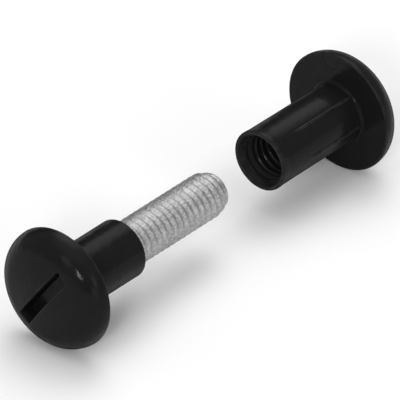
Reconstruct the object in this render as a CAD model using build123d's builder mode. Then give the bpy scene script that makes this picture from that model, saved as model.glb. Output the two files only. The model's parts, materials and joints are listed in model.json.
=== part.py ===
"""Two-part furniture connector bolt for joining cabinet sides.

A screw half and a sleeve nut half share one axis, which runs along +X.
The origin is the middle of the screw head's bearing face, +Z is up, and all
lengths are in millimetres. The halves stand apart, as they are before the
stud is started in the nut.
"""
from math import asin, cos, degrees, radians, sin
import os

from build123d import *

# Domed heads, the same on both halves
head_diameter = 16.0
dome_crown_radius = 30.0
dome_rim_radius = 3.2
head_edge_radius = 0.2
neck_fillet_radius = 0.45

# Driver slot in the screw head
slot_length = 10.3
slot_width = 1.85
slot_depth = 2.6
slot_corner_radius = 0.25
slot_angle = 126.0

# Collar of the screw half
collar_diameter = 7.8
collar_length = 11.2
collar_edge_radius = 0.2

# Steel stud, M6 with a pitch of 1 mm
stud_diameter = 5.94
stud_exposed_length = 17.0
stud_embedded_length = 9.0
stud_tip_diameter = 4.8
stud_tip_length = 1.5
stud_seat_clearance = 0.02

# Shallow rolled thread of the stud, with one ring groove for each of its turns
thread_pitch = 1.0
thread_depth = 0.24
thread_flat_width = 0.25
thread_plain_length = 0.4

# Sleeve of the nut half
sleeve_length = 14.8
sleeve_diameter = 7.92
lip_height = 0.05
lip_length = 0.6
lip_edge_radius = 0.15

# Bore of the nut half
bore_clearance = 0.08
bore_depth = 17.4
mouth_opening_diameter = 7.14
mouth_cone_depth = 0.8

# Grip ribs on the sleeve
rib_count = 6
rib_start = 4.0
rib_ramp_length = 2.5
rib_height = 0.2
rib_width = 0.5
rib_first_angle = 5.0
rib_root_overlap = 0.3

# Distance from the stud's tip to the nut's mouth
open_gap = 8.6

# Values that follow from the sizes above
head_radius = head_diameter / 2
rim_centre_radius = head_radius - dome_rim_radius
crown_half_angle = asin(rim_centre_radius / (dome_crown_radius - dome_rim_radius))
crown_centre_depth = (dome_crown_radius - dome_rim_radius) * cos(crown_half_angle) - head_edge_radius
head_height = dome_crown_radius - crown_centre_depth
collar_radius = collar_diameter / 2
stud_radius = stud_diameter / 2
stud_tip_x = collar_length + stud_exposed_length
stud_inner_x = collar_length - stud_embedded_length
seat_radius = stud_radius + stud_seat_clearance
thread_root_radius = stud_radius - thread_depth
groove_width = thread_pitch - thread_flat_width
groove_top_radius = stud_radius + thread_depth
groove_count = int((stud_exposed_length - thread_plain_length - thread_pitch / 2) / thread_pitch)
mouth_x = stud_tip_x + open_gap
nut_face_x = mouth_x + sleeve_length
bore_radius = stud_radius + bore_clearance
bore_end_x = mouth_x + bore_depth
sleeve_radius = sleeve_diameter / 2
lip_radius = sleeve_radius + lip_height
lip_end_x = mouth_x + 2 * lip_length
sleeve_end_x = nut_face_x - neck_fillet_radius
rib_x = mouth_x + rib_start
rib_length = nut_face_x - rib_x


def draw_dome(face_x, side):
    """Draw half the outline of a domed head, from its apex to its bearing face.

    face_x is the bearing face, and side is -1 or +1, the way the dome points.
    """
    crown_tilt = degrees(crown_half_angle)
    axis_angle = 0 if side > 0 else 180
    rim_centre_x = face_x + side * head_edge_radius
    CenterArc((face_x - side * crown_centre_depth, 0), dome_crown_radius, axis_angle, side * crown_tilt)
    CenterArc((rim_centre_x, rim_centre_radius), dome_rim_radius, 90, -side * (90 - crown_tilt))
    CenterArc((rim_centre_x, head_radius - head_edge_radius), head_edge_radius, 90, side * 90)


# Screw head, dome, slot and collar in one moulding
with BuildPart() as screw_head:
    with BuildSketch(Plane.XY) as head_section:
        with BuildLine() as head_outline:
            draw_dome(0, -1)
            face_edge = Line((0, head_radius - head_edge_radius), (0, collar_radius + neck_fillet_radius))
            RadiusArc(face_edge @ 1, (neck_fillet_radius, collar_radius), neck_fillet_radius)
            collar_side = Line(
                (neck_fillet_radius, collar_radius), (collar_length - collar_edge_radius, collar_radius)
            )
            RadiusArc(
                collar_side @ 1, (collar_length, collar_radius - collar_edge_radius), collar_edge_radius
            )
            Polyline(
                (collar_length, collar_radius - collar_edge_radius),
                (collar_length, seat_radius),
                (stud_inner_x, seat_radius),
                (stud_inner_x, 0),
                (-head_height, 0),
            )
        make_face()
    revolve(axis=Axis.X)
    slot_floor = Plane(
        origin=(slot_depth - head_height, 0, 0),
        x_dir=(0, cos(radians(slot_angle)), sin(radians(slot_angle))),
        z_dir=(-1, 0, 0),
    )
    with BuildSketch(slot_floor) as slot_section:
        RectangleRounded(slot_length, slot_width, slot_corner_radius)
    extrude(amount=2 * slot_depth, mode=Mode.SUBTRACT)
screw_head.part.label = "screw_head"

# Threaded stud, held in the collar, with its grooves counted from the tip
with BuildPart() as threaded_stud:
    with BuildSketch(Plane.XY) as stud_section:
        with BuildLine() as stud_outline:
            Polyline(
                (stud_inner_x, 0),
                (stud_inner_x, stud_radius),
                (stud_tip_x - stud_tip_length, stud_radius),
                (stud_tip_x, stud_tip_diameter / 2),
                (stud_tip_x, 0),
                close=True,
            )
        make_face()
    revolve(axis=Axis.X)
    with BuildSketch(Plane.XY) as groove_sections:
        with Locations([(stud_tip_x - thread_pitch * (turn + 1), 0) for turn in range(groove_count)]):
            Polygon(
                (-thread_flat_width / 2, thread_root_radius),
                (thread_flat_width / 2, thread_root_radius),
                (groove_width / 2, stud_radius),
                (groove_width / 2, groove_top_radius),
                (-groove_width / 2, groove_top_radius),
                (-groove_width / 2, stud_radius),
                align=None,
            )
    revolve(axis=Axis.X, mode=Mode.SUBTRACT)
threaded_stud.part.label = "threaded_stud"

# Sleeve nut, with its bore and its grip ribs
with BuildPart() as sleeve_nut:
    with BuildSketch(Plane.XY) as nut_section:
        with BuildLine() as nut_outline:
            draw_dome(nut_face_x, 1)
            flange_edge = Line(
                (nut_face_x, head_radius - head_edge_radius),
                (nut_face_x, sleeve_radius + neck_fillet_radius),
            )
            RadiusArc(flange_edge @ 1, (sleeve_end_x, sleeve_radius), -neck_fillet_radius)
            lip_inner = Polyline(
                (sleeve_end_x, sleeve_radius),
                (lip_end_x, sleeve_radius),
                (mouth_x + lip_length, lip_radius),
                (mouth_x + lip_edge_radius, lip_radius),
            )
            RadiusArc(lip_inner @ 1, (mouth_x, lip_radius - lip_edge_radius), -lip_edge_radius)
            Polyline(
                (mouth_x, lip_radius - lip_edge_radius),
                (mouth_x, mouth_opening_diameter / 2),
                (mouth_x + mouth_cone_depth, bore_radius),
                (bore_end_x, bore_radius),
                (bore_end_x, 0),
                (nut_face_x + head_height, 0),
            )
        make_face()
    revolve(axis=Axis.X)
    for rib in range(rib_count):
        rib_angle = radians(rib_first_angle + 360 / rib_count * rib)
        rib_plane = Plane(
            origin=(rib_x, 0, 0),
            x_dir=(1, 0, 0),
            z_dir=(0, -sin(rib_angle), cos(rib_angle)),
        )
        with BuildSketch(rib_plane) as rib_side:
            with BuildLine() as rib_outline:
                Polyline(
                    (0, sleeve_radius - rib_root_overlap),
                    (0, sleeve_radius),
                    (rib_ramp_length, sleeve_radius + rib_height),
                    (rib_length, sleeve_radius + rib_height),
                    (rib_length, sleeve_radius - rib_root_overlap),
                    close=True,
                )
            make_face()
        extrude(amount=rib_width / 2, both=True)
sleeve_nut.part.label = "sleeve_nut"

os.makedirs("parts", exist_ok=True)
export_step(screw_head.part, "parts/screw_head.step")
export_step(threaded_stud.part, "parts/threaded_stud.step")
export_step(sleeve_nut.part, "parts/sleeve_nut.step")
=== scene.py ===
"""Looks of a two-part furniture connector bolt, laid out as an add-on.

The bolt's axis is +X, lengths are in metres, and every piece stands where the
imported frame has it.
"""
import json
from math import asin, cos, degrees, hypot, pi, radians, sin, sqrt

import bmesh
import bpy
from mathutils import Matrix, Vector


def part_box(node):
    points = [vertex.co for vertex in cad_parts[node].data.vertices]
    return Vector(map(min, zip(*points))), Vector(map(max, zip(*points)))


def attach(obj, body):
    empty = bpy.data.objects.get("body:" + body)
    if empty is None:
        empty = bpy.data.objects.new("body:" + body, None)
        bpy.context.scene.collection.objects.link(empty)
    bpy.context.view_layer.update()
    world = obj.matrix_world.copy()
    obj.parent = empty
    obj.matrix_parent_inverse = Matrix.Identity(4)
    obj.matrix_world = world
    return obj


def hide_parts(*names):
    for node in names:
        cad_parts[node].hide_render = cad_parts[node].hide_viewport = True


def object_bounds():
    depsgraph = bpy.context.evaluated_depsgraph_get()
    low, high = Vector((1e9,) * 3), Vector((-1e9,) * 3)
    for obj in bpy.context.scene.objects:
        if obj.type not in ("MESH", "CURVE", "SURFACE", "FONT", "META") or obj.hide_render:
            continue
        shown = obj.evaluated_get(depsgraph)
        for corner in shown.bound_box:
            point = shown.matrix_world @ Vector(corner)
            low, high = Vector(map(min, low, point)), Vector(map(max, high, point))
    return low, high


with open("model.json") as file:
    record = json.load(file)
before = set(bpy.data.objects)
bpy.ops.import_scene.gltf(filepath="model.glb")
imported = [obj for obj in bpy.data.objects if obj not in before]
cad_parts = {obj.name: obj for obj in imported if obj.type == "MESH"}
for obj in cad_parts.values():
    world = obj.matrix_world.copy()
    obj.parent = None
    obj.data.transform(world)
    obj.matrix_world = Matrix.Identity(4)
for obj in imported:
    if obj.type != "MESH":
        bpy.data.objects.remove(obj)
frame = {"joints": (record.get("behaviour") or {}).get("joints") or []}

bl_info = {
    "name": "Furniture Connector Bolt",
    "version": (1, 0, 0),
    "blender": (4, 5, 0),
    "location": "View3D > Sidebar > Connector Bolt",
    "description": "Builds a slotted screw half and a sleeve nut half in black plastic, with real threads",
    "category": "Add Mesh",
}

MM = 0.001
FRAME_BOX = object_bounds()
HEAD_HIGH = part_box("screw_head")[1]
STUD_LOW, STUD_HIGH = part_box("threaded_stud")
NUT_LOW, NUT_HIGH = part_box("sleeve_nut")
TRAVEL = frame["joints"][0]["range_m"][1]

# Columns round every turned surface, and rows to one turn of a thread
AROUND = 160
ROWS_PER_TURN = 16
COLUMN_ANGLES = [2 * pi * column / AROUND - pi for column in range(AROUND)]
WELD_DISTANCE = 0.002 * MM

# Distance from an edge to the ring of points that holds it
HOLD_DISTANCE = 0.12 * MM
# Outward bends, one over their radius, at which the wear along an edge starts and is full
EDGE_BEND_LOW = 1.0 / (0.9 * MM)
EDGE_BEND_HIGH = 1.0 / (0.25 * MM)

# Steps along each kind of round stretch
CORNER_STEPS = 5
ROUND_STEPS = 6
NECK_STEPS = 8
HEAD_RIM_STEPS = 14
HEAD_CROWN_STEPS = 26
NUT_RIM_STEPS = 22
NUT_CROWN_STEPS = 10
SLOT_ROUND_STEPS = 4

# Shares of the points in a quarter of the slot's outline on its end, its corner and its side
END_SHARE, CORNER_SHARE, SIDE_SHARE = 0.1, 0.3, 0.6
# Smallest corner that the slot's outline keeps, and half the width of its innermost ring
SMALLEST_CORNER = 0.02 * MM
FLOOR_STRIP = 0.01 * MM
# Share of the rim's radius, in from the rim, where the rings round the slot become circles
SHOULDER_SHARE = 0.45

# Room round the stud in its socket, and the bevel and opening at the socket's mouth
SOCKET_GAP = 0.02 * MM
SOCKET_BEVEL = 0.1 * MM
SOCKET_OPENING = 0.12 * MM
# Bevel at the stud's hidden end
STUD_END_BEVEL = 0.3 * MM
# Rounding of the mouth's rim, width of its ledge, and length over which the painted light on the bore's
# walls fades in
MOUTH_ROUNDING = 0.06 * MM
LEDGE_WIDTH = 0.05 * MM
BORE_LIGHT_FADE = 0.2 * MM
# How far the ribs run into the flange
RIB_OVERLAP = 0.05 * MM


def size_mm(name, description, millimetres):
    """A size that the sidebar shows in the scene's length unit."""
    return bpy.props.FloatProperty(
        name=name, description=description, default=millimetres * MM, min=0.0,
        precision=5, subtype="DISTANCE", unit="LENGTH",
    )


def share_property(name, description, share):
    """A share from 0 to 1 that the sidebar shows as a slider."""
    return bpy.props.FloatProperty(
        name=name, description=description, default=share, min=0.0, max=1.0, subtype="FACTOR",
    )


def angle_property(name, description, angle):
    """An angle, whose default is given in degrees."""
    return bpy.props.FloatProperty(
        name=name, description=description, default=radians(angle), subtype="ANGLE", unit="ROTATION",
    )


def grey(level):
    """A grey of this linear level."""
    return (level, level, level)


def colour_property(name, description, colour):
    """A linear colour that the sidebar shows as a swatch."""
    return bpy.props.FloatVectorProperty(
        name=name, description=description, default=colour, size=3, min=0.0, max=1.0, subtype="COLOR",
    )


class DomeSizes(bpy.types.PropertyGroup):
    """Sizes of the domed heads, which both halves share."""

    crown_radius: size_mm("Crown Radius", "Radius of the head's nearly flat crown", 30.0)
    rim_radius: size_mm("Rim Radius", "Radius of the round shoulder at the head's rim", 3.2)
    edge_radius: size_mm("Edge Radius", "Small radius where the rim meets the bearing face", 0.2)
    neck_fillet: size_mm("Neck Fillet", "Fillet between the bearing face and the barrel", 0.45)


class SlotSizes(bpy.types.PropertyGroup):
    """Sizes of the driver slot in the screw head."""

    length: size_mm("Slot Length", "Length of the slot", 10.3)
    width: size_mm("Slot Width", "Width of the slot", 1.85)
    depth: size_mm("Slot Depth", "Depth of the slot's floor under the crown", 2.6)
    corner_radius: size_mm("Corner Radius", "Radius of the slot's corners, seen along the bolt", 0.25)
    edge_radius: size_mm("Edge Radius", "Rounding of the slot's upper edge", 0.1)
    floor_fillet: size_mm("Floor Fillet", "Fillet between the slot's walls and its floor", 0.1)
    draft: size_mm("Draft", "How much each wall leans in from top to bottom", 0.05)
    angle: angle_property("Slot Angle", "Turn of the slot about the bolt's axis", 126.0)


class CollarSizes(bpy.types.PropertyGroup):
    """Sizes of the collar under the screw head."""

    radius: size_mm("Collar Radius", "Outer radius of the collar", 3.9)
    edge_radius: size_mm("Edge Radius", "Rounding of the collar's free edge", 0.2)


class ThreadSizes(bpy.types.PropertyGroup):
    """Sizes of the stud's thread and of the nut's thread that runs on it."""

    pitch: size_mm("Pitch", "Distance between neighbouring crests", 1.0)
    depth: size_mm("Thread Depth", "Height of a thread crest over its root", 0.24)
    clearance: size_mm("Clearance", "Radial room between the two threads", 0.08)
    tip_radius: size_mm("Tip Radius", "Radius of the stud's flat end", 2.38)
    tip_length: size_mm("Tip Length", "Length of the bevel at the stud's end", 1.5)
    run_out: size_mm("Run-out", "Length over which the thread starts at the collar", 0.9)


class NutSizes(bpy.types.PropertyGroup):
    """Sizes of the sleeve, its mouth and its grip ribs."""

    sleeve_length: size_mm("Sleeve Length", "Mouth to bearing face", 14.8)
    mouth_radius: size_mm("Sleeve Radius", "Outer radius of the sleeve behind its lip", 3.98)
    root_radius: size_mm("Root Radius", "Outer radius of the sleeve at the flange", 3.91)
    lip_height: size_mm("Lip Height", "How far the mouth's lip stands out", 0.05)
    lip_length: size_mm("Lip Length", "Length of the mouth's lip", 0.6)
    lip_edge: size_mm("Lip Edge", "Rounding of the lip's outer edge", 0.15)
    opening_radius: size_mm("Opening Radius", "Radius of the conical mouth at its rim", 3.57)
    cone_depth: size_mm("Cone Depth", "Depth of the conical mouth", 0.8)
    ledge_height: size_mm("Ledge Height", "Rounded step from the cone to the bore", 0.07)
    # A plain black band past the ledge, where the bore's grey is left out, is a painted shadow line under
    # the ledge
    shadow_band: size_mm("Glossy Band", "Glossy stretch between the ledge and the matt bore", 0.35)
    counterbore_end: size_mm("Counterbore End", "Mouth to the first turn of thread", 2.05)
    bore_depth: size_mm("Bore Depth", "Mouth to the bottom of the bore", 17.4)
    rib_start: size_mm("Rib Start", "Mouth to the start of the grip ribs", 4.0)
    rib_ramp: size_mm("Rib Ramp", "Length over which a rib rises", 2.5)
    rib_height: size_mm("Rib Height", "How far a rib stands out of the sleeve", 0.2)
    rib_width: size_mm("Rib Width", "Width of a rib at the sleeve's surface", 0.5)
    rib_count: bpy.props.IntProperty(
        name="Ribs", description="Grip ribs round the sleeve", default=6, min=1, max=24,
    )
    rib_angle: angle_property("First Rib", "Angle of the first rib about the bolt's axis", 5.0)


class Finishes(bpy.types.PropertyGroup):
    """Colours and gloss of the plastic, the zinc and the floor."""

    plastic_colour: colour_property("Plastic", "Colour of the black mouldings", grey(0.008))
    plastic_bloom: colour_property("Bloom", "Greyer colour in the plastic's patches", grey(0.011))
    plastic_roughness: share_property("Plastic Roughness", "Roughness of the moulded skin", 0.1)
    # Grey on the bore's walls and in the nut thread's grooves is painted light that falls in at the mouth
    bore_light_colour: colour_property("Bore", "Matt grey on the moulded walls of the nut's bore", grey(0.03))
    wear_colour: colour_property("Wear", "Colour of scuffed plastic edges", grey(0.02))
    zinc_colour: colour_property("Zinc", "Colour of the zinc plate", grey(0.54))
    # The dull specks are the plate's own; the darker grooves of the thread are painted shade
    dull_zinc_and_groove_shade: colour_property("Dull Zinc", "Colour of the plate's dull specks and grooves", grey(0.31))
    zinc_roughness: share_property("Zinc Roughness", "Roughness of the zinc plate", 0.44)
    floor_colour: colour_property("Floor", "Colour of the floor", grey(0.9))


# Outlines and turned surfaces

def arc(centre_x, centre_radius, radius, first, last, steps):
    """(x, radius) pairs along a round stretch of an outline, with angles in degrees from +X outwards."""
    angles = [radians(first + (last - first) * step / steps) for step in range(steps + 1)]
    return [(centre_x + radius * cos(a), centre_radius + radius * sin(a)) for a in angles]


def with_holding_points(outline):
    """The outline with points close to both ends of each long stretch, to keep edge marks narrow."""
    held = [outline[0]]
    for (x, radius), (next_x, next_radius) in zip(outline, outline[1:]):
        length = hypot(next_x - x, next_radius - radius)
        if length > 4 * HOLD_DISTANCE:
            for share in (HOLD_DISTANCE / length, 1 - HOLD_DISTANCE / length):
                held.append((x + (next_x - x) * share, radius + (next_radius - radius) * share))
        held.append((next_x, next_radius))
    return held


def ring(x, radius, angles=COLUMN_ANGLES):
    """One ring of points round the bolt's axis."""
    return [Vector((x, radius * cos(angle), radius * sin(angle))) for angle in angles]


class Dome:
    """Shape of a domed head whose bearing face is at face_x and whose dome points to side, -1 or +1."""

    def __init__(self, sizes, face_x, side, head_radius):
        self.sizes = sizes
        self.face_x = face_x
        self.side = side
        self.head_radius = head_radius
        self.rim_x = face_x + side * sizes.edge_radius
        self.rim_centre = head_radius - sizes.rim_radius
        reach = sizes.crown_radius - sizes.rim_radius
        self.crown_tilt = asin(self.rim_centre / reach)
        self.crown_x = self.rim_x - side * reach * cos(self.crown_tilt)
        self.crown_edge = sizes.crown_radius * sin(self.crown_tilt)

    def height(self, radius):
        """x of the dome's surface at this distance from the axis."""
        if radius <= self.crown_edge:
            return self.crown_x + self.side * sqrt(self.sizes.crown_radius ** 2 - radius ** 2)
        offset = min(radius - self.rim_centre, self.sizes.rim_radius)
        return self.rim_x + self.side * sqrt(self.sizes.rim_radius ** 2 - offset ** 2)

    def rim_outline(self, from_radius, steps):
        """Half outline from a radius on the dome, round the rim, to the bearing face."""
        start = degrees(asin((from_radius - self.rim_centre) / self.sizes.rim_radius))
        edge = self.sizes.edge_radius
        rim = arc(0, self.rim_centre, self.sizes.rim_radius, start, 90, steps)
        corner = arc(0, self.head_radius - edge, edge, 90, 180, CORNER_STEPS)
        return [(self.rim_x + self.side * x, r) for x, r in rim + corner[1:]]

    def crown_outline(self, to_radius, steps):
        """Half outline from near the apex out to a radius on the dome."""
        radii = [to_radius * (step + 1) / steps for step in range(steps)]
        return [(self.height(radius), radius) for radius in radii]


def new_object(name, data):
    """A new object in the scene."""
    made = bpy.data.objects.new(name, data)
    bpy.context.scene.collection.objects.link(made)
    return made


def skin(name, rings, close_first=True, close_last=True):
    """A mesh object through rings of points, with its first and last ring closed at their middles."""
    mesh = bpy.data.meshes.new(name)
    build = bmesh.new()
    rows = [[build.verts.new(point) for point in points] for points in rings]
    for near, far in zip(rows, rows[1:]):
        for column in range(AROUND):
            beside = (column + 1) % AROUND
            build.faces.new((near[column], near[beside], far[beside], far[column]))
    for closed, row, points in ((close_first, rows[0], rings[0]), (close_last, rows[-1], rings[-1])):
        if closed:
            middle = build.verts.new(sum(points, Vector()) / AROUND)
            for column in range(AROUND):
                build.faces.new((row[column], row[(column + 1) % AROUND], middle))
    build.to_mesh(mesh)
    build.free()
    return new_object(name, mesh)


def face_outwards(mesh):
    """Weld the mesh's seams and turn every face outwards."""
    build = bmesh.new()
    build.from_mesh(mesh)
    bmesh.ops.remove_doubles(build, verts=build.verts, dist=WELD_DISTANCE)
    bmesh.ops.dissolve_degenerate(build, edges=build.edges, dist=WELD_DISTANCE / 4)
    bmesh.ops.recalc_face_normals(build, faces=build.faces)
    for face in build.faces:
        face.smooth = True
    build.to_mesh(mesh)
    build.free()


def mark_points(mesh, name, values):
    """Store one value from 0 to 1 at every point of a mesh."""
    mesh.attributes.new(name, "FLOAT", "POINT").data.foreach_set("value", values)


def mark_edges(mesh):
    """Store how sharply the surface bends outwards at every point, for the wear along its edges."""
    bends = [0.0] * len(mesh.vertices)
    for edge in mesh.edges:
        first, second = (mesh.vertices[index] for index in edge.vertices)
        step = second.co - first.co
        bend = (second.normal - first.normal).dot(step) / step.length_squared
        for index in edge.vertices:
            bends[index] = max(bends[index], bend)
    span = EDGE_BEND_HIGH - EDGE_BEND_LOW
    mark_points(mesh, "edge", [min(max(bend - EDGE_BEND_LOW, 0.0) / span, 1.0) for bend in bends])


# Node helpers

def plug(tree, source, socket):
    """Link a socket to another, or give it a plain value."""
    if isinstance(source, bpy.types.NodeSocket):
        tree.links.new(source, socket)
    else:
        socket.default_value = source


def fill(tree, sockets, sources):
    """Link or set each named socket."""
    for key, source in sources.items():
        plug(tree, source, sockets[key])


def add_node(tree, kind, inputs=None, **settings):
    """A node with its settings and inputs filled in."""
    made = tree.nodes.new(kind)
    for key, value in settings.items():
        setattr(made, key, value)
    fill(tree, made.inputs, inputs or {})
    return made


def calc(tree, operation, *values):
    """Result of one Math node."""
    made = tree.nodes.new("ShaderNodeMath")
    made.operation = operation
    for index, value in enumerate(values):
        plug(tree, value, made.inputs[index])
    return made.outputs[0]


def spread(tree, value, from_low, from_high, to_low, to_high, kind="LINEAR"):
    """Result of one clamped Map Range node."""
    made = add_node(tree, "ShaderNodeMapRange", {
        "Value": value, "From Min": from_low, "From Max": from_high, "To Min": to_low, "To Max": to_high,
    }, interpolation_type=kind)
    return made.outputs["Result"]


def vector_math(tree, operation, *vectors):
    """Result of one Vector Math node, a value or a vector."""
    made = add_node(tree, "ShaderNodeVectorMath", dict(enumerate(vectors)), operation=operation)
    return made.outputs["Value" if operation in ("DISTANCE", "DOT_PRODUCT") else "Vector"]


def vector(tree, **axes):
    """A vector made from its X, Y and Z, where an axis that isn't given is 0."""
    return add_node(tree, "ShaderNodeCombineXYZ", axes).outputs[0]


def shared(kind, name, make, *given):
    """A node group or material of this name, made the first time it is asked for."""
    return getattr(bpy.data, kind).get(name) or make(*given)


def group_sockets(tree, inputs, outputs):
    """Give a node group its inputs and outputs, and return the sockets to take from and to give to."""
    for name, kind, value in inputs:
        socket = tree.interface.new_socket(name, in_out="INPUT", socket_type=kind)
        if value is not None:
            socket.default_value = value
    for name, kind in outputs:
        tree.interface.new_socket(name, in_out="OUTPUT", socket_type=kind)
    return tree.nodes.new("NodeGroupInput").outputs, tree.nodes.new("NodeGroupOutput").inputs


# Threads and ribs as geometry nodes

FLOAT, WHOLE, GEOMETRY, MATERIAL = (
    "NodeSocketFloat", "NodeSocketInt", "NodeSocketGeometry", "NodeSocketMaterial"
)
ROW_SOCKETS = (
    ("Columns", WHOLE, AROUND), ("Rows Per Turn", WHOLE, ROWS_PER_TURN), ("Pitch", FLOAT, 1.0),
    ("Start", FLOAT, 0.0), ("End", FLOAT, 1.0), ("Crest", FLOAT, 0.0),
)
# Share of a pitch over which a wound sheet closes at its far end
CAP_SHARE = 0.45
# Share of the thread's height that is left at the end of the stud's bevel
TIP_THREAD_SHARE = 0.3
# Share of the half pitch between a crest and its root that the nut's ridges take up
NUT_RIDGE_SHARE = 0.6
# Share of the bore's painted light that is left on the nut's thread past its first half turn, so that
# deeper in is painted shade
DEEP_BORE_LIGHT = 0.15
# Points along a grip rib and round its section
RIB_POINTS = 24
RIB_SECTION_POINTS = 20


def point_axes(tree):
    """The X, Y and Z of every point."""
    position = tree.nodes.new("GeometryNodeInputPosition").outputs[0]
    return add_node(tree, "ShaderNodeSeparateXYZ", {0: position}).outputs


def helix_rows_group():
    """Node group for a sheet of points whose rows wind along the bolt as a right-hand thread does."""
    tree = bpy.data.node_groups.new("thread rows", "GeometryNodeTree")
    take, give = group_sockets(tree, (
        *ROW_SOCKETS, ("Crest Share", FLOAT, 0.0), ("Root Share", FLOAT, 1.0),
    ), (("Geometry", GEOMETRY), ("Angle", FLOAT), ("Axial", FLOAT), ("Ridge", FLOAT)))
    row_step = calc(tree, "DIVIDE", take["Pitch"], take["Rows Per Turn"])
    first_goal = calc(tree, "SUBTRACT", take["Start"], take["Pitch"])
    before_crest = calc(tree, "SUBTRACT", first_goal, take["Crest"])
    first_rows = calc(tree, "FLOOR", calc(tree, "DIVIDE", before_crest, row_step))
    first = calc(tree, "MULTIPLY_ADD", first_rows, row_step, take["Crest"])
    last_goal = calc(tree, "ADD", take["End"], take["Pitch"])
    goal_span = calc(tree, "SUBTRACT", last_goal, first)
    row_count = calc(tree, "CEIL", calc(tree, "DIVIDE", goal_span, row_step))
    span = calc(tree, "MULTIPLY", row_count, row_step)
    sheet = add_node(tree, "GeometryNodeMeshGrid", {
        "Size X": span, "Vertices X": calc(tree, "ADD", row_count, 1.0),
        "Size Y": 2 * pi, "Vertices Y": calc(tree, "ADD", take["Columns"], 1.0),
    })
    axes = point_axes(tree)
    along = calc(tree, "ADD", calc(tree, "MULTIPLY_ADD", span, 0.5, axes["X"]), first)
    angle = axes["Y"]
    lead = calc(tree, "MULTIPLY", calc(tree, "DIVIDE", angle, 2 * pi), take["Pitch"])
    axial = calc(tree, "ADD", along, lead)
    past_crest = calc(tree, "SUBTRACT", along, take["Crest"])
    turn = calc(tree, "ADD", calc(tree, "DIVIDE", past_crest, take["Pitch"]), 0.5)
    from_crest = calc(tree, "ABSOLUTE", calc(tree, "MULTIPLY_ADD", calc(tree, "FRACT", turn), 2.0, -1.0))
    ridge = spread(tree, from_crest, take["Crest Share"], take["Root Share"], 1.0, 0.0, "SMOOTHSTEP")
    fill(tree, give, {"Geometry": sheet.outputs["Mesh"], "Angle": angle, "Axial": axial, "Ridge": ridge})
    return tree


def thread_rows(tree, take):
    """The node that winds the rows, fed by the tree's inputs of the same names."""
    group = shared("node_groups", "thread rows", helix_rows_group)
    rows = add_node(tree, "GeometryNodeGroup", node_tree=group)
    fill(tree, rows.inputs, {name: take[name] for name, kind, value in ROW_SOCKETS})
    return rows


def wrapped_rows(tree, rows, radius, start, end):
    """The sheet of thread rows rolled up round the axis, closed over its far end."""
    take = rows.outputs
    pitch = rows.inputs["Pitch"].links[0].from_socket
    closed_end = calc(tree, "MULTIPLY_ADD", pitch, CAP_SHARE, end)
    cap = spread(tree, take["Axial"], end, closed_end, 1.0, 0.0)
    closed_radius = calc(tree, "MULTIPLY", radius, cap)
    place = vector(
        tree, X=calc(tree, "MINIMUM", calc(tree, "MAXIMUM", take["Axial"], start), end),
        Y=calc(tree, "MULTIPLY", closed_radius, calc(tree, "COSINE", take["Angle"])),
        Z=calc(tree, "MULTIPLY", closed_radius, calc(tree, "SINE", take["Angle"])),
    )
    rolled = add_node(tree, "GeometryNodeSetPosition", {"Geometry": take["Geometry"], "Position": place})
    return rolled.outputs[0]


def with_attribute(tree, geometry, name, value):
    """The geometry with one more value kept at its points for the finish."""
    stored = add_node(tree, "GeometryNodeStoreNamedAttribute", {
        "Geometry": geometry, "Name": name, "Value": value,
    }, data_type="FLOAT", domain="POINT")
    return stored.outputs[0]


def finish_tree(tree, parts, material, output):
    """Join the parts, weld them, realize them and set their material."""
    join = tree.nodes.new("GeometryNodeJoinGeometry")
    for part in reversed(parts):
        tree.links.new(part, join.inputs[0])
    geometry = join.outputs[0]
    for kind, settings in (
        ("GeometryNodeRealizeInstances", {}),
        ("GeometryNodeMergeByDistance", {"Distance": WELD_DISTANCE}),
        ("GeometryNodeRealizeInstances", {}),
        ("GeometryNodeSetMaterial", {"Material": material}),
    ):
        geometry = add_node(tree, kind, {"Geometry": geometry, **settings}).outputs[0]
    plug(tree, geometry, output)


def stud_thread_tree():
    """Node tree that winds the outer thread on the stud and bevels its end."""
    tree = bpy.data.node_groups.new("stud thread", "GeometryNodeTree")
    take, give = group_sockets(tree, (
        ("Geometry", GEOMETRY, None), *ROW_SOCKETS,
        ("Crest Radius", FLOAT, 1.0), ("Root Radius", FLOAT, 1.0), ("Run-out", FLOAT, 1.0),
        ("Tip Radius", FLOAT, 1.0), ("Tip Length", FLOAT, 1.0), ("Material", MATERIAL, None),
    ), (("Geometry", GEOMETRY),))
    rows = thread_rows(tree, take)
    axial = rows.outputs["Axial"]
    run_end = calc(tree, "ADD", take["Start"], take["Run-out"])
    run_out = spread(tree, axial, take["Start"], run_end, 1.0, 0.0)
    ridge = calc(tree, "MAXIMUM", rows.outputs["Ridge"], run_out)
    bevel_start = calc(tree, "SUBTRACT", take["End"], take["Tip Length"])
    outside = spread(tree, axial, bevel_start, take["End"], take["Crest Radius"], take["Tip Radius"])
    whole_height = calc(tree, "SUBTRACT", take["Crest Radius"], take["Root Radius"])
    tip_height = calc(tree, "MULTIPLY", whole_height, TIP_THREAD_SHARE)
    height = spread(tree, axial, bevel_start, take["End"], whole_height, tip_height)
    radius = calc(tree, "MULTIPLY_ADD", calc(tree, "SUBTRACT", ridge, 1.0), height, outside)
    rolled = wrapped_rows(tree, rows, radius, take["Start"], take["End"])
    kept = with_attribute(tree, rolled, "ridge", ridge)
    finish_tree(tree, [take["Geometry"], kept], take["Material"], give[0])
    return tree


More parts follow.
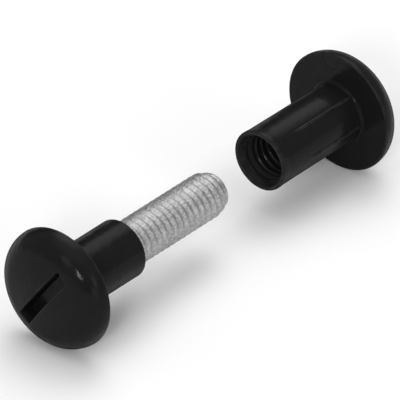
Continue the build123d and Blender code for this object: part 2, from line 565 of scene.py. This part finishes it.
def nut_inside_tree():
    """Node tree that winds the nut's inner thread and sets the grip ribs round the sleeve."""
    tree = bpy.data.node_groups.new("nut thread and ribs", "GeometryNodeTree")
    take, give = group_sockets(tree, (
        ("Geometry", GEOMETRY, None), *ROW_SOCKETS,
        ("Crest Radius", FLOAT, 1.0), ("Root Radius", FLOAT, 1.0), ("Lead-in", FLOAT, 1.0),
        ("Rib Count", WHOLE, 6), ("Rib Angle", FLOAT, 0.0), ("Rib Start", FLOAT, 0.0),
        ("Rib End", FLOAT, 1.0), ("Rib Ramp", FLOAT, 1.0), ("Rib Height", FLOAT, 1.0),
        ("Rib Bead Radius", FLOAT, 1.0), ("Sleeve Start Radius", FLOAT, 1.0),
        ("Sleeve End Radius", FLOAT, 1.0), ("Material", MATERIAL, None),
    ), (("Geometry", GEOMETRY),))
    rows = thread_rows(tree, take)
    rows.inputs["Root Share"].default_value = NUT_RIDGE_SHARE
    axial = rows.outputs["Axial"]
    lead_end = calc(tree, "ADD", take["Start"], take["Lead-in"])
    lead_in = spread(tree, axial, take["Start"], lead_end, 0.0, 1.0)
    fade_start = calc(tree, "SUBTRACT", take["End"], take["Lead-in"])
    lead_out = spread(tree, axial, fade_start, take["End"], 1.0, 0.0)
    ridge = calc(tree, "MINIMUM", calc(tree, "MINIMUM", rows.outputs["Ridge"], lead_in), lead_out)
    thread_height = calc(tree, "SUBTRACT", take["Crest Radius"], take["Root Radius"])
    radius = calc(tree, "MULTIPLY_ADD", ridge, thread_height, take["Root Radius"])
    rolled = wrapped_rows(tree, rows, radius, take["Start"], take["End"])
    # Painted light in the bore: full at the first half turn, then mostly gone deeper in, as painted shade
    near_mouth = spread(tree, axial, take["Start"], lead_end, 1.0, DEEP_BORE_LIGHT)
    kept = with_attribute(tree, with_attribute(tree, rolled, "ridge", ridge), "bore", near_mouth)

    line = add_node(tree, "GeometryNodeCurvePrimitiveLine", {
        "Start": vector(tree, X=take["Rib Start"]), "End": vector(tree, X=take["Rib End"]),
    })
    points = add_node(tree, "GeometryNodeResampleCurve", {"Curve": line.outputs[0], "Count": RIB_POINTS})
    along = point_axes(tree)["X"]
    ramp_end = calc(tree, "ADD", take["Rib Start"], take["Rib Ramp"])
    rise = spread(tree, along, take["Rib Start"], ramp_end, 0.0, 1.0)
    surface = spread(
        tree, along, take["Rib Start"], take["Rib End"],
        take["Sleeve Start Radius"], take["Sleeve End Radius"],
    )
    crest = calc(tree, "MULTIPLY_ADD", rise, take["Rib Height"], surface)
    spine_radius = calc(tree, "SUBTRACT", crest, take["Rib Bead Radius"])
    spine = add_node(tree, "GeometryNodeSetPosition", {
        "Geometry": points.outputs[0], "Offset": vector(tree, Y=spine_radius),
    })
    section = add_node(tree, "GeometryNodeCurvePrimitiveCircle", {
        "Resolution": RIB_SECTION_POINTS, "Radius": take["Rib Bead Radius"],
    })
    bead = add_node(tree, "GeometryNodeCurveToMesh", {
        "Curve": spine.outputs[0], "Profile Curve": section.outputs["Curve"], "Fill Caps": True,
    })
    seats = add_node(tree, "GeometryNodePoints", {"Count": take["Rib Count"]})
    step = calc(tree, "DIVIDE", 2 * pi, take["Rib Count"])
    index = tree.nodes.new("GeometryNodeInputIndex").outputs[0]
    turn = calc(tree, "MULTIPLY_ADD", index, step, take["Rib Angle"])
    ribs = add_node(tree, "GeometryNodeInstanceOnPoints", {
        "Points": seats.outputs[0], "Instance": bead.outputs[0], "Rotation": vector(tree, X=turn),
    })
    finish_tree(tree, [take["Geometry"], kept, ribs.outputs[0]], take["Material"], give[0])
    return tree


def grown_mesh(made, tree, inputs):
    """Run a node tree on a piece and keep the result as its plain mesh."""
    modifier = made.modifiers.new("grow", "NODES")
    modifier.node_group = tree
    sockets = {item.name: item.identifier for item in tree.interface.items_tree if item.in_out == "INPUT"}
    for name, value in inputs.items():
        modifier[sockets[name]] = value
    depsgraph = bpy.context.evaluated_depsgraph_get()
    mesh = bpy.data.meshes.new_from_object(made.evaluated_get(depsgraph), depsgraph=depsgraph)
    made.modifiers.remove(modifier)
    old = made.data
    made.data = mesh
    bpy.data.meshes.remove(old)
    mesh.name = made.name
    face_outwards(mesh)
    mark_edges(mesh)


# Finishes

# Faint quarter of a round line that an ejector pin left on the nut's bearing face
PIN_MARK_CENTRE = (51.6 * MM, 0.87 * MM, 7.43 * MM)
PIN_MARK_RADIUS = 1.45 * MM
PIN_MARK_WIDTH = 0.15 * MM
PIN_MARK_FADE = 0.4 * MM
# Share of the thread flanks' slope along the bolt that still shows through the plating
FLANK_SHADE = 0.6
# Heights of the finest relief
PLASTIC_RELIEF = 0.02 * MM
ZINC_RELIEF = 0.14 * MM
# Weak mirror light of the plastic and the floor, and the floor's roughness
PLASTIC_SPECULAR = 0.06
FLOOR_SPECULAR = 0.1
FLOOR_ROUGHNESS = 0.9
# Scale of the floor's patches, and the share of its colour in the darker ones
FLOOR_PATCH_SCALE = 40.0
FLOOR_MOTTLE = 0.985


def noise(tree, place, scale, **inputs):
    """Noise from 0 to 1 over these places."""
    return add_node(tree, "ShaderNodeTexNoise", {"Vector": place, "Scale": scale, **inputs}).outputs[0]


def handling_marks_group():
    """Shader group for faint patches and fine scratches, as values from 0 to 1."""
    tree = bpy.data.node_groups.new("handling marks", "ShaderNodeTree")
    take, give = group_sockets(tree, (
        ("Patch Scale", FLOAT, 300.0), ("Scratch Scale", FLOAT, 900.0), ("Grain Scale", FLOAT, 6000.0),
    ), (("Patches", FLOAT), ("Scratches", FLOAT), ("Grain", FLOAT)))
    place = tree.nodes.new("ShaderNodeTexCoord").outputs["Object"]
    patches = noise(tree, place, take["Patch Scale"], Detail=3.0, Roughness=0.6)
    stretched = add_node(tree, "ShaderNodeMapping", {
        "Vector": place, "Rotation": (0.4, 0.9, 0.3), "Scale": (0.12, 1.0, 1.0),
    })
    scratches = noise(tree, stretched.outputs[0], take["Scratch Scale"], Detail=2.0, Distortion=0.4)
    fill(tree, give, {
        "Patches": patches, "Scratches": spread(tree, scratches, 0.62, 0.8, 0.0, 1.0),
        "Grain": noise(tree, place, take["Grain Scale"], Detail=2.0, Roughness=0.5),
    })
    return tree


def new_material(name):
    """An empty node material with its Principled shader."""
    material = bpy.data.materials.new(name)
    material.use_nodes = True
    return material, material.node_tree, material.node_tree.nodes["Principled BSDF"]


def mixed_colour(tree, factor, first, second):
    """Result of one colour mix, where each colour is a socket or three numbers."""
    mix = add_node(tree, "ShaderNodeMix", data_type="RGBA")
    plug(tree, factor, mix.inputs[0])
    for socket, colour in ((mix.inputs[6], first), (mix.inputs[7], second)):
        plug(tree, colour if isinstance(colour, bpy.types.NodeSocket) else (*colour, 1.0), socket)
    return mix.outputs[2]


def point_value(tree, name):
    """A value that the mesh keeps at its points."""
    kept = add_node(tree, "ShaderNodeAttribute", attribute_name=name, attribute_type="GEOMETRY")
    return kept.outputs["Fac"]


def worn_marks(tree, **scales):
    """The patches, scratches and grain of a finish at its own scales."""
    marks = shared("node_groups", "handling marks", handling_marks_group)
    worn = add_node(tree, "ShaderNodeGroup", node_tree=marks)
    fill(tree, worn.inputs, {f"{name} Scale": scale for name, scale in scales.items()})
    return worn.outputs["Patches"], worn.outputs["Scratches"], worn.outputs["Grain"]


def moulded_plastic(finishes):
    """Glossy black moulded plastic, slightly wavy and scuffed along its edges, with painted light on the
    walls of the nut's bore.
    """
    material, tree, shader = new_material("moulded_plastic")
    patches, scratches, grain = worn_marks(tree, Patch=700.0, Grain=5000.0)
    bore, ridge = point_value(tree, "bore"), point_value(tree, "ridge")
    scuffed = calc(tree, "MULTIPLY", point_value(tree, "edge"), spread(tree, patches, 0.4, 0.6, 0.2, 1.0))
    # Painted light: grey on the bore's walls and in the nut thread's grooves, less of it deeper in; it
    # changes only the colour, not the roughness
    painted_light = calc(tree, "MULTIPLY", bore, spread(tree, ridge, 0.0, 0.6, 1.0, 0.0))
    skin_colour = mixed_colour(tree, patches, finishes.plastic_colour, finishes.plastic_bloom)
    scuffed_colour = mixed_colour(tree, scuffed, skin_colour, finishes.wear_colour)
    base = finishes.plastic_roughness
    patchy = spread(tree, patches, 0.25, 0.75, base - 0.04, base + 0.1)
    scuffed_roughness = calc(tree, "MULTIPLY_ADD", scuffed, 0.15, patchy)
    dulled = calc(tree, "MULTIPLY_ADD", scratches, 0.08, scuffed_roughness)
    facing = tree.nodes.new("ShaderNodeLayerWeight").outputs["Facing"]
    glancing = spread(tree, facing, 0.5, 0.9, 0.0, 0.5)
    place = tree.nodes.new("ShaderNodeTexCoord").outputs["Object"]
    from_pin = vector_math(tree, "DISTANCE", place, PIN_MARK_CENTRE)
    off_line = calc(tree, "ABSOLUTE", calc(tree, "SUBTRACT", from_pin, PIN_MARK_RADIUS))
    axes = add_node(tree, "ShaderNodeSeparateXYZ", {0: place}).outputs
    middle_y, middle_z = PIN_MARK_CENTRE[1:]
    near_part = spread(tree, axes["Y"], middle_y - 2 * PIN_MARK_FADE, middle_y - PIN_MARK_FADE, 0.0, 1.0)
    lower_part = spread(tree, axes["Z"], middle_z, middle_z + PIN_MARK_FADE, 1.0, 0.0)
    line = spread(tree, off_line, 0.0, PIN_MARK_WIDTH, 1.0, 0.0)
    pin_mark = calc(tree, "MULTIPLY", calc(tree, "MULTIPLY", near_part, lower_part), line)
    walls_colour = mixed_colour(tree, painted_light, scuffed_colour, finishes.bore_light_colour)
    skin_height = calc(tree, "MULTIPLY_ADD", grain, 0.12, calc(tree, "MULTIPLY", scratches, -0.06))
    wavy_height = calc(tree, "MULTIPLY_ADD", patches, 3.5, skin_height)
    bump = add_node(tree, "ShaderNodeBump", {
        "Height": calc(tree, "MULTIPLY_ADD", pin_mark, -1.2, wavy_height),
        "Strength": 1.0, "Distance": PLASTIC_RELIEF,
    })
    fill(tree, shader.inputs, {
        "Base Color": mixed_colour(tree, pin_mark, walls_colour, grey(0.0)),
        "Roughness": calc(tree, "ADD", dulled, glancing), "Specular IOR Level": PLASTIC_SPECULAR,
        "Normal": bump.outputs[0],
    })
    return material


def zinc_plate(finishes):
    """Bright zinc plate on steel, granular, with dull specks and painted shade in the thread's grooves."""
    material, tree, shader = new_material("zinc_plate")
    patches, scratches, grain = worn_marks(tree, Patch=900.0, Scratch=2500.0, Grain=3500.0)
    # Painted shade: the thread's grooves are darker than its crests
    crests = spread(tree, point_value(tree, "ridge"), 0.1, 0.9, 0.85, 1.0)
    specks = spread(tree, grain, 0.35, 0.65, 0.0, 1.0)
    mottle = calc(tree, "MULTIPLY", spread(tree, patches, 0.3, 0.7, 0.7, 1.0), specks)
    bright = calc(tree, "MULTIPLY", crests, mottle)
    base = finishes.zinc_roughness
    rough = spread(tree, patches, 0.3, 0.7, base + 0.1, base - 0.06)
    height = calc(tree, "MULTIPLY_ADD", patches, 0.4, grain)
    bump = add_node(tree, "ShaderNodeBump", {"Height": height, "Strength": 1.0, "Distance": ZINC_RELIEF})
    softened = vector_math(tree, "MULTIPLY", bump.outputs[0], (FLANK_SHADE, 1.0, 1.0))
    fill(tree, shader.inputs, {
        "Base Color": mixed_colour(tree, bright, finishes.dull_zinc_and_groove_shade, finishes.zinc_colour),
        "Metallic": 1.0, "Roughness": calc(tree, "MULTIPLY_ADD", scratches, 0.1, rough),
        "Normal": vector_math(tree, "NORMALIZE", softened),
    })
    return material


def floor_finish(finishes):
    """Matt pale floor with a faint mottle, which looks white where nothing shades it."""
    material, tree, shader = new_material("pale_floor")
    place = tree.nodes.new("ShaderNodeTexCoord").outputs["Object"]
    mottle = noise(tree, place, FLOOR_PATCH_SCALE, Detail=4.0)
    low = tuple(FLOOR_MOTTLE * channel for channel in finishes.floor_colour)
    fill(tree, shader.inputs, {
        "Base Color": mixed_colour(tree, mottle, low, finishes.floor_colour),
        "Roughness": FLOOR_ROUGHNESS, "Specular IOR Level": FLOOR_SPECULAR,
    })
    return material


# Pieces

def rounded_slot_outline(slot, grow):
    """Slot outline seen along the bolt's axis, grown outwards, with one point to each column."""
    half_length = slot.length / 2 + grow
    half_width = slot.width / 2 + grow
    corner = max(slot.corner_radius + grow, SMALLEST_CORNER)
    straight_end = half_width - corner
    straight_side = half_length - corner
    points = []
    for column in range(AROUND):
        turn = column / AROUND * 4
        quadrant, part = int(turn), turn - int(turn)
        part = part if quadrant % 2 == 0 else 1 - part
        if part <= END_SHARE:
            place = (half_length, straight_end * part / END_SHARE)
        elif part <= END_SHARE + CORNER_SHARE:
            swing = (part - END_SHARE) / CORNER_SHARE * pi / 2
            place = (straight_side + corner * cos(swing), straight_end + corner * sin(swing))
        else:
            place = (straight_side * (1 - (part - END_SHARE - CORNER_SHARE) / SIDE_SHARE), half_width)
        along = place[0] if quadrant in (0, 3) else -place[0]
        across = place[1] if quadrant in (0, 1) else -place[1]
        points.append((along, across))
    return points


def slot_ring(slot, grow, height):
    """One ring of the slot, where height(y, z) gives each point's x."""
    ring_points = []
    for along, across in rounded_slot_outline(slot, grow):
        y = along * cos(slot.angle) - across * sin(slot.angle)
        z = along * sin(slot.angle) + across * cos(slot.angle)
        ring_points.append(Vector((height(y, z), y, z)))
    return ring_points


def slot_rings(slot, dome):
    """Rings from the middle of the slot's floor, up its walls, to the dome's shoulder."""
    floor_x = dome.height(0.0) + slot.depth
    fillet, lean, edge = slot.floor_fillet, slot.draft, slot.edge_radius
    swings = [pi / 2 * step / SLOT_ROUND_STEPS for step in range(SLOT_ROUND_STEPS + 1)]
    rings = [slot_ring(slot, -slot.width / 2 + FLOOR_STRIP, lambda y, z: floor_x)]
    for swing in swings:
        grow = -lean - fillet * (1 - sin(swing))
        rings.append(slot_ring(slot, grow, lambda y, z, s=swing: floor_x - fillet * (1 - cos(s))))
    rings.append(slot_ring(slot, -lean / 2, lambda y, z: (floor_x + dome.height(hypot(y, z))) / 2))
    for swing in swings:
        sink = edge * (1 - sin(swing))
        rings.append(slot_ring(
            slot, edge * (1 - cos(swing)), lambda y, z, s=sink: dome.height(hypot(y, z)) + s
        ))
    opening = rings[-1]
    shoulder = dome.head_radius - dome.sizes.rim_radius * SHOULDER_SHARE
    outer_angles = [2 * pi * column / AROUND + slot.angle for column in range(AROUND)]
    for step in range(1, HEAD_CROWN_STEPS + 1):
        share = step / HEAD_CROWN_STEPS
        blended = []
        for point, angle in zip(opening, outer_angles):
            y = point.y + (shoulder * cos(angle) - point.y) * share
            z = point.z + (shoulder * sin(angle) - point.z) * share
            blended.append(Vector((dome.height(hypot(y, z)), y, z)))
        rings.append(blended)
    return rings, shoulder, outer_angles


def head_moulding(settings):
    """Screw head, slot and collar as one closed moulding, with the socket that holds the stud."""
    radius, edge = settings.collar.radius, settings.collar.edge_radius
    dome = Dome(settings.dome, HEAD_HIGH.x - settings.collar_length, -1, HEAD_HIGH.z)
    rings, shoulder, angles = slot_rings(settings.slot, dome)
    neck = settings.dome.neck_fillet
    face_x, end_x = dome.face_x, HEAD_HIGH.x
    outline = dome.rim_outline(shoulder, HEAD_RIM_STEPS)[1:]
    outline += arc(face_x + neck, radius + neck, neck, 180, 270, NECK_STEPS)
    outline += [(face_x + (end_x - face_x) * 0.5, radius)]
    outline += arc(end_x - edge, radius - edge, edge, 90, 0, ROUND_STEPS)
    socket = STUD_HIGH.z + SOCKET_GAP
    outline += [
        (end_x, STUD_HIGH.z + SOCKET_OPENING), (end_x - SOCKET_BEVEL, socket), (STUD_LOW.x, socket),
    ]
    rings += [ring(*point, angles) for point in with_holding_points(outline)]
    return skin("screw_head_moulding", rings)


def stud_blank():
    """Plain end of the stud inside the collar, open where the thread starts."""
    start_x, radius = STUD_LOW.x, STUD_HIGH.z
    rings = [
        ring(start_x, radius - STUD_END_BEVEL), ring(start_x + STUD_END_BEVEL, radius),
        ring(HEAD_HIGH.x, radius),
    ]
    return skin("zinc_stud", rings, close_last=False)


def nut_shell(settings):
    """Outside of the nut and its mouth, open where the inner thread starts."""
    nut, domes = settings.nut, settings.dome
    mouth_x = NUT_LOW.x
    face_x = mouth_x + nut.sleeve_length
    dome = Dome(domes, face_x, 1, NUT_HIGH.z)
    outline = dome.crown_outline(dome.crown_edge, NUT_CROWN_STEPS)
    outline += dome.rim_outline(dome.crown_edge, NUT_RIM_STEPS)[1:]
    neck = domes.neck_fillet
    outline += arc(face_x - neck, nut.root_radius + neck, neck, 0, -90, NECK_STEPS)
    lip = nut.mouth_radius + nut.lip_height
    outline += [(mouth_x + 2 * nut.lip_length, nut.mouth_radius), (mouth_x + nut.lip_length, lip)]
    outline += arc(mouth_x + nut.lip_edge, lip - nut.lip_edge, nut.lip_edge, 90, 180, ROUND_STEPS)
    wall = STUD_HIGH.z + settings.thread.clearance
    ledge = nut.ledge_height
    ledge_x = mouth_x + nut.cone_depth + LEDGE_WIDTH
    thread_x = mouth_x + nut.counterbore_end
    outline += [
        (mouth_x, nut.opening_radius + MOUTH_ROUNDING),
        (mouth_x + MOUTH_ROUNDING, nut.opening_radius - MOUTH_ROUNDING / 2),
        (mouth_x + nut.cone_depth, wall + ledge), (ledge_x, wall + ledge),
    ]
    outline += arc(ledge_x + ledge, wall + ledge, ledge, 180, 270, ROUND_STEPS)[1:]
    # Past the ledge, a plain black band is a painted shadow line; after it the bore's walls carry painted
    # light
    bore_light_x = ledge_x + nut.shadow_band
    outline += [(bore_light_x, wall), (bore_light_x + BORE_LIGHT_FADE, wall), (thread_x, wall)]
    rings = [ring(*point) for point in with_holding_points(outline)]
    made = skin("sleeve_nut_moulding", rings, close_last=False)
    # The bore's painted light, from the end of the painted shadow band to the thread
    mark_points(made.data, "bore", [
        float(bore_light_x + WELD_DISTANCE < point.co.x < thread_x + WELD_DISTANCE
              and hypot(point.co.y, point.co.z) < nut.opening_radius)
        for point in made.data.vertices
    ])
    return made


def part_property(kind, name, description):
    """A group of sizes or finishes."""
    return bpy.props.PointerProperty(type=kind, name=name, description=description)


class ConnectorSettings(bpy.types.PropertyGroup):
    """All sizes and finishes of the connector bolt."""

    collar_length: size_mm("Collar Length", "Bearing face to the collar's free end", 11.2)
    dome: part_property(DomeSizes, "Domes", "Domed heads")
    slot: part_property(SlotSizes, "Slot", "Driver slot")
    collar: part_property(CollarSizes, "Collar", "Collar under the head")
    thread: part_property(ThreadSizes, "Threads", "Stud and nut threads")
    nut: part_property(NutSizes, "Nut", "Sleeve nut")
    finishes: part_property(Finishes, "Finishes", "Colours and gloss")


def stud_crest_x(settings):
    """Place of a crest of the stud's thread on the column at angle 0."""
    return STUD_HIGH.x - settings.thread.tip_length


def settle(made, node, body):
    """Hand a finished piece to the frame."""
    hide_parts(node)
    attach(made, body)


class BOLT_OT_head_moulding(bpy.types.Operator):
    """Make the slotted screw head and its collar"""

    bl_idname = "connector_bolt.head_moulding"
    bl_label = "Screw Head"

    def execute(self, context):
        settings = context.scene.connector_bolt
        made = head_moulding(settings)
        face_outwards(made.data)
        mark_edges(made.data)
        plastic = shared("materials", "moulded_plastic", moulded_plastic, settings.finishes)
        made.data.materials.append(plastic)
        settle(made, "screw_head", "screw")
        return {"FINISHED"}


class BOLT_OT_zinc_stud(bpy.types.Operator):
    """Make the zinc-plated stud with its rolled thread"""

    bl_idname = "connector_bolt.zinc_stud"
    bl_label = "Threaded Stud"

    def execute(self, context):
        settings = context.scene.connector_bolt
        thread = settings.thread
        made = stud_blank()
        grown_mesh(made, stud_thread_tree(), {
            "Columns": AROUND, "Rows Per Turn": ROWS_PER_TURN, "Pitch": thread.pitch,
            "Start": HEAD_HIGH.x, "End": STUD_HIGH.x, "Crest": stud_crest_x(settings),
            "Crest Radius": STUD_HIGH.z, "Root Radius": STUD_HIGH.z - thread.depth,
            "Run-out": thread.run_out, "Tip Radius": thread.tip_radius, "Tip Length": thread.tip_length,
            "Material": zinc_plate(settings.finishes),
        })
        settle(made, "threaded_stud", "screw")
        return {"FINISHED"}


class BOLT_OT_sleeve_nut(bpy.types.Operator):
    """Make the sleeve nut with its domed flange, inner thread and grip ribs"""

    bl_idname = "connector_bolt.sleeve_nut"
    bl_label = "Sleeve Nut"

    def execute(self, context):
        settings = context.scene.connector_bolt
        nut, thread = settings.nut, settings.thread
        made = nut_shell(settings)
        mouth_x = NUT_LOW.x
        bead = (nut.rib_width ** 2 / 4 + nut.rib_height ** 2) / (2 * nut.rib_height)
        grown_mesh(made, nut_inside_tree(), {
            "Columns": AROUND, "Rows Per Turn": ROWS_PER_TURN, "Pitch": thread.pitch,
            "Start": mouth_x + nut.counterbore_end, "End": mouth_x + nut.bore_depth,
            "Crest": stud_crest_x(settings) + TRAVEL + thread.pitch / 2,
            "Crest Radius": STUD_HIGH.z - thread.depth + thread.clearance,
            "Root Radius": STUD_HIGH.z + thread.clearance, "Lead-in": 0.5 * thread.pitch,
            "Rib Count": nut.rib_count, "Rib Angle": nut.rib_angle, "Rib Start": mouth_x + nut.rib_start,
            "Rib End": mouth_x + nut.sleeve_length + RIB_OVERLAP, "Rib Ramp": nut.rib_ramp,
            "Rib Height": nut.rib_height, "Rib Bead Radius": bead,
            "Sleeve Start Radius": nut.mouth_radius, "Sleeve End Radius": nut.root_radius,
            "Material": shared("materials", "moulded_plastic", moulded_plastic, settings.finishes),
        })
        settle(made, "sleeve_nut", "nut")
        return {"FINISHED"}


# Stage

# The camera's aim is the middle of the object as the photograph frames it.
CAMERA_AZIMUTH = -49.1
CAMERA_ELEVATION = 33.21
CAMERA_DISTANCE = 1.8
CAMERA_LENS = 1324.4
CAMERA_SENSOR = 36.0
CAMERA_RANGE = (0.05, 10.0)
AIM_X = 0.028
AIM_RIGHT = -1.54 * MM
AIM_UP = -1.12 * MM
FLOOR_SIZE = 3.0

# Light of the even surround, where 1 is white
SURROUND_LIGHT = 0.45
# Azimuth from +X, elevation, inner and outer half angle in degrees, and added light of each patch: lights
# overhead, behind, at the left, in front, at the side and low down, then dark screens left and behind
LIGHT_PATCHES = (
    (0.0, 90.0, 10.0, 42.0, 1.0),
    (30.0, 58.0, 10.0, 27.0, 2.6),
    (-150.0, 29.0, 2.5, 6.5, 36.0),
    (-90.0, 22.0, 5.0, 14.0, 2.4),
    (-178.0, 39.0, 3.0, 15.0, 2.2),
    (-108.0, 4.0, 3.0, 15.0, 2.2),
    (-130.0, 8.0, 8.0, 34.0, -0.45),
    (60.0, 12.0, 12.0, 32.0, -0.45),
)


def add_camera():
    """The camera at the photograph's angle."""
    turn, lift = radians(CAMERA_AZIMUTH), radians(CAMERA_ELEVATION)
    right = Vector((cos(turn), sin(turn), 0.0))
    back = Vector((sin(turn) * cos(lift), -cos(turn) * cos(lift), sin(lift)))
    up = back.cross(right)
    lens = bpy.data.cameras.new("camera")
    lens.lens = CAMERA_LENS
    lens.sensor_width = CAMERA_SENSOR
    lens.clip_start, lens.clip_end = CAMERA_RANGE
    camera = new_object("camera", lens)
    camera.location = Vector((AIM_X, 0, 0)) + right * AIM_RIGHT + up * AIM_UP + back * CAMERA_DISTANCE
    camera.rotation_mode = "QUATERNION"
    camera.rotation_quaternion = back.to_track_quat("Z", "Y")
    bpy.context.scene.camera = camera


def add_floor(settings):
    """A plain floor that both round rims rest on."""
    half = FLOOR_SIZE / 2
    mesh = bpy.data.meshes.new("floor")
    low = FRAME_BOX[0].z
    corners = [(-half, -half, low), (half, -half, low), (half, half, low), (-half, half, low)]
    mesh.from_pydata(corners, [], [(0, 1, 2, 3)])
    mesh.materials.append(floor_finish(settings.finishes))
    floor = new_object("floor", mesh)


def light_patch(tree, direction, patch):
    """Extra light of one soft round patch of the surround, as a value that changes with direction."""
    azimuth, elevation, inner, outer, extra = patch
    swing, lift = radians(azimuth), radians(elevation)
    towards = (cos(swing) * cos(lift), sin(swing) * cos(lift), sin(lift))
    nearness = vector_math(tree, "DOT_PRODUCT", direction, towards)
    return spread(tree, nearness, cos(radians(outer)), cos(radians(inner)), 0.0, extra)


def set_world():
    """A soft even surround with round patches of more light, and two dark screens beside the object."""
    world = bpy.data.worlds.new("studio")
    world.use_nodes = True
    tree = world.node_tree
    direction = tree.nodes.new("ShaderNodeTexCoord").outputs["Generated"]
    light = SURROUND_LIGHT
    for patch in LIGHT_PATCHES:
        light = calc(tree, "ADD", light_patch(tree, direction, patch), light)
    background = tree.nodes["Background"]
    background.inputs["Color"].default_value = (1.0, 1.0, 1.0, 1.0)
    plug(tree, calc(tree, "MAXIMUM", light, 0.0), background.inputs["Strength"])
    bpy.context.scene.world = world


class BOLT_OT_stage(bpy.types.Operator):
    """Make the floor, the soft lights and the camera"""

    bl_idname = "connector_bolt.stage"
    bl_label = "Studio Stage"

    def execute(self, context):
        settings = context.scene.connector_bolt
        add_floor(settings)
        set_world()
        add_camera()
        context.scene.view_settings.view_transform = "Standard"
        return {"FINISHED"}


class BOLT_PT_sidebar(bpy.types.Panel):
    """Sidebar panel that lists the pieces and their sizes"""

    bl_idname = "BOLT_PT_sidebar"
    bl_label = "Connector Bolt"
    bl_space_type = "VIEW_3D"
    bl_region_type = "UI"
    bl_category = "Connector Bolt"

    def draw(self, context):
        settings = context.scene.connector_bolt
        for operator in OPERATORS:
            self.layout.operator(operator.bl_idname)
        self.layout.prop(settings, "collar_length")
        for group in (settings.dome, settings.slot, settings.collar, settings.thread, settings.nut,
                      settings.finishes):
            box = self.layout.box()
            for name in group.__annotations__:
                box.prop(group, name)


OPERATORS = (BOLT_OT_stage, BOLT_OT_head_moulding, BOLT_OT_zinc_stud, BOLT_OT_sleeve_nut)
CLASSES = (
    DomeSizes, SlotSizes, CollarSizes, ThreadSizes, NutSizes, Finishes, ConnectorSettings,
    *OPERATORS, BOLT_PT_sidebar,
)


def register():
    """Register the classes and the settings."""
    for item in CLASSES:
        bpy.utils.register_class(item)
    bpy.types.Scene.connector_bolt = part_property(
        ConnectorSettings, "Connector Bolt", "Sizes and finishes of the connector bolt"
    )


def unregister():
    """Remove the settings and the classes."""
    del bpy.types.Scene.connector_bolt
    for item in reversed(CLASSES):
        bpy.utils.unregister_class(item)


def main():
    """Build the stage and the pieces."""
    register()
    bpy.ops.connector_bolt.stage()
    bpy.ops.connector_bolt.head_moulding()
    bpy.ops.connector_bolt.zinc_stud()
    bpy.ops.connector_bolt.sleeve_nut()


if __name__ == "__main__":
    main()
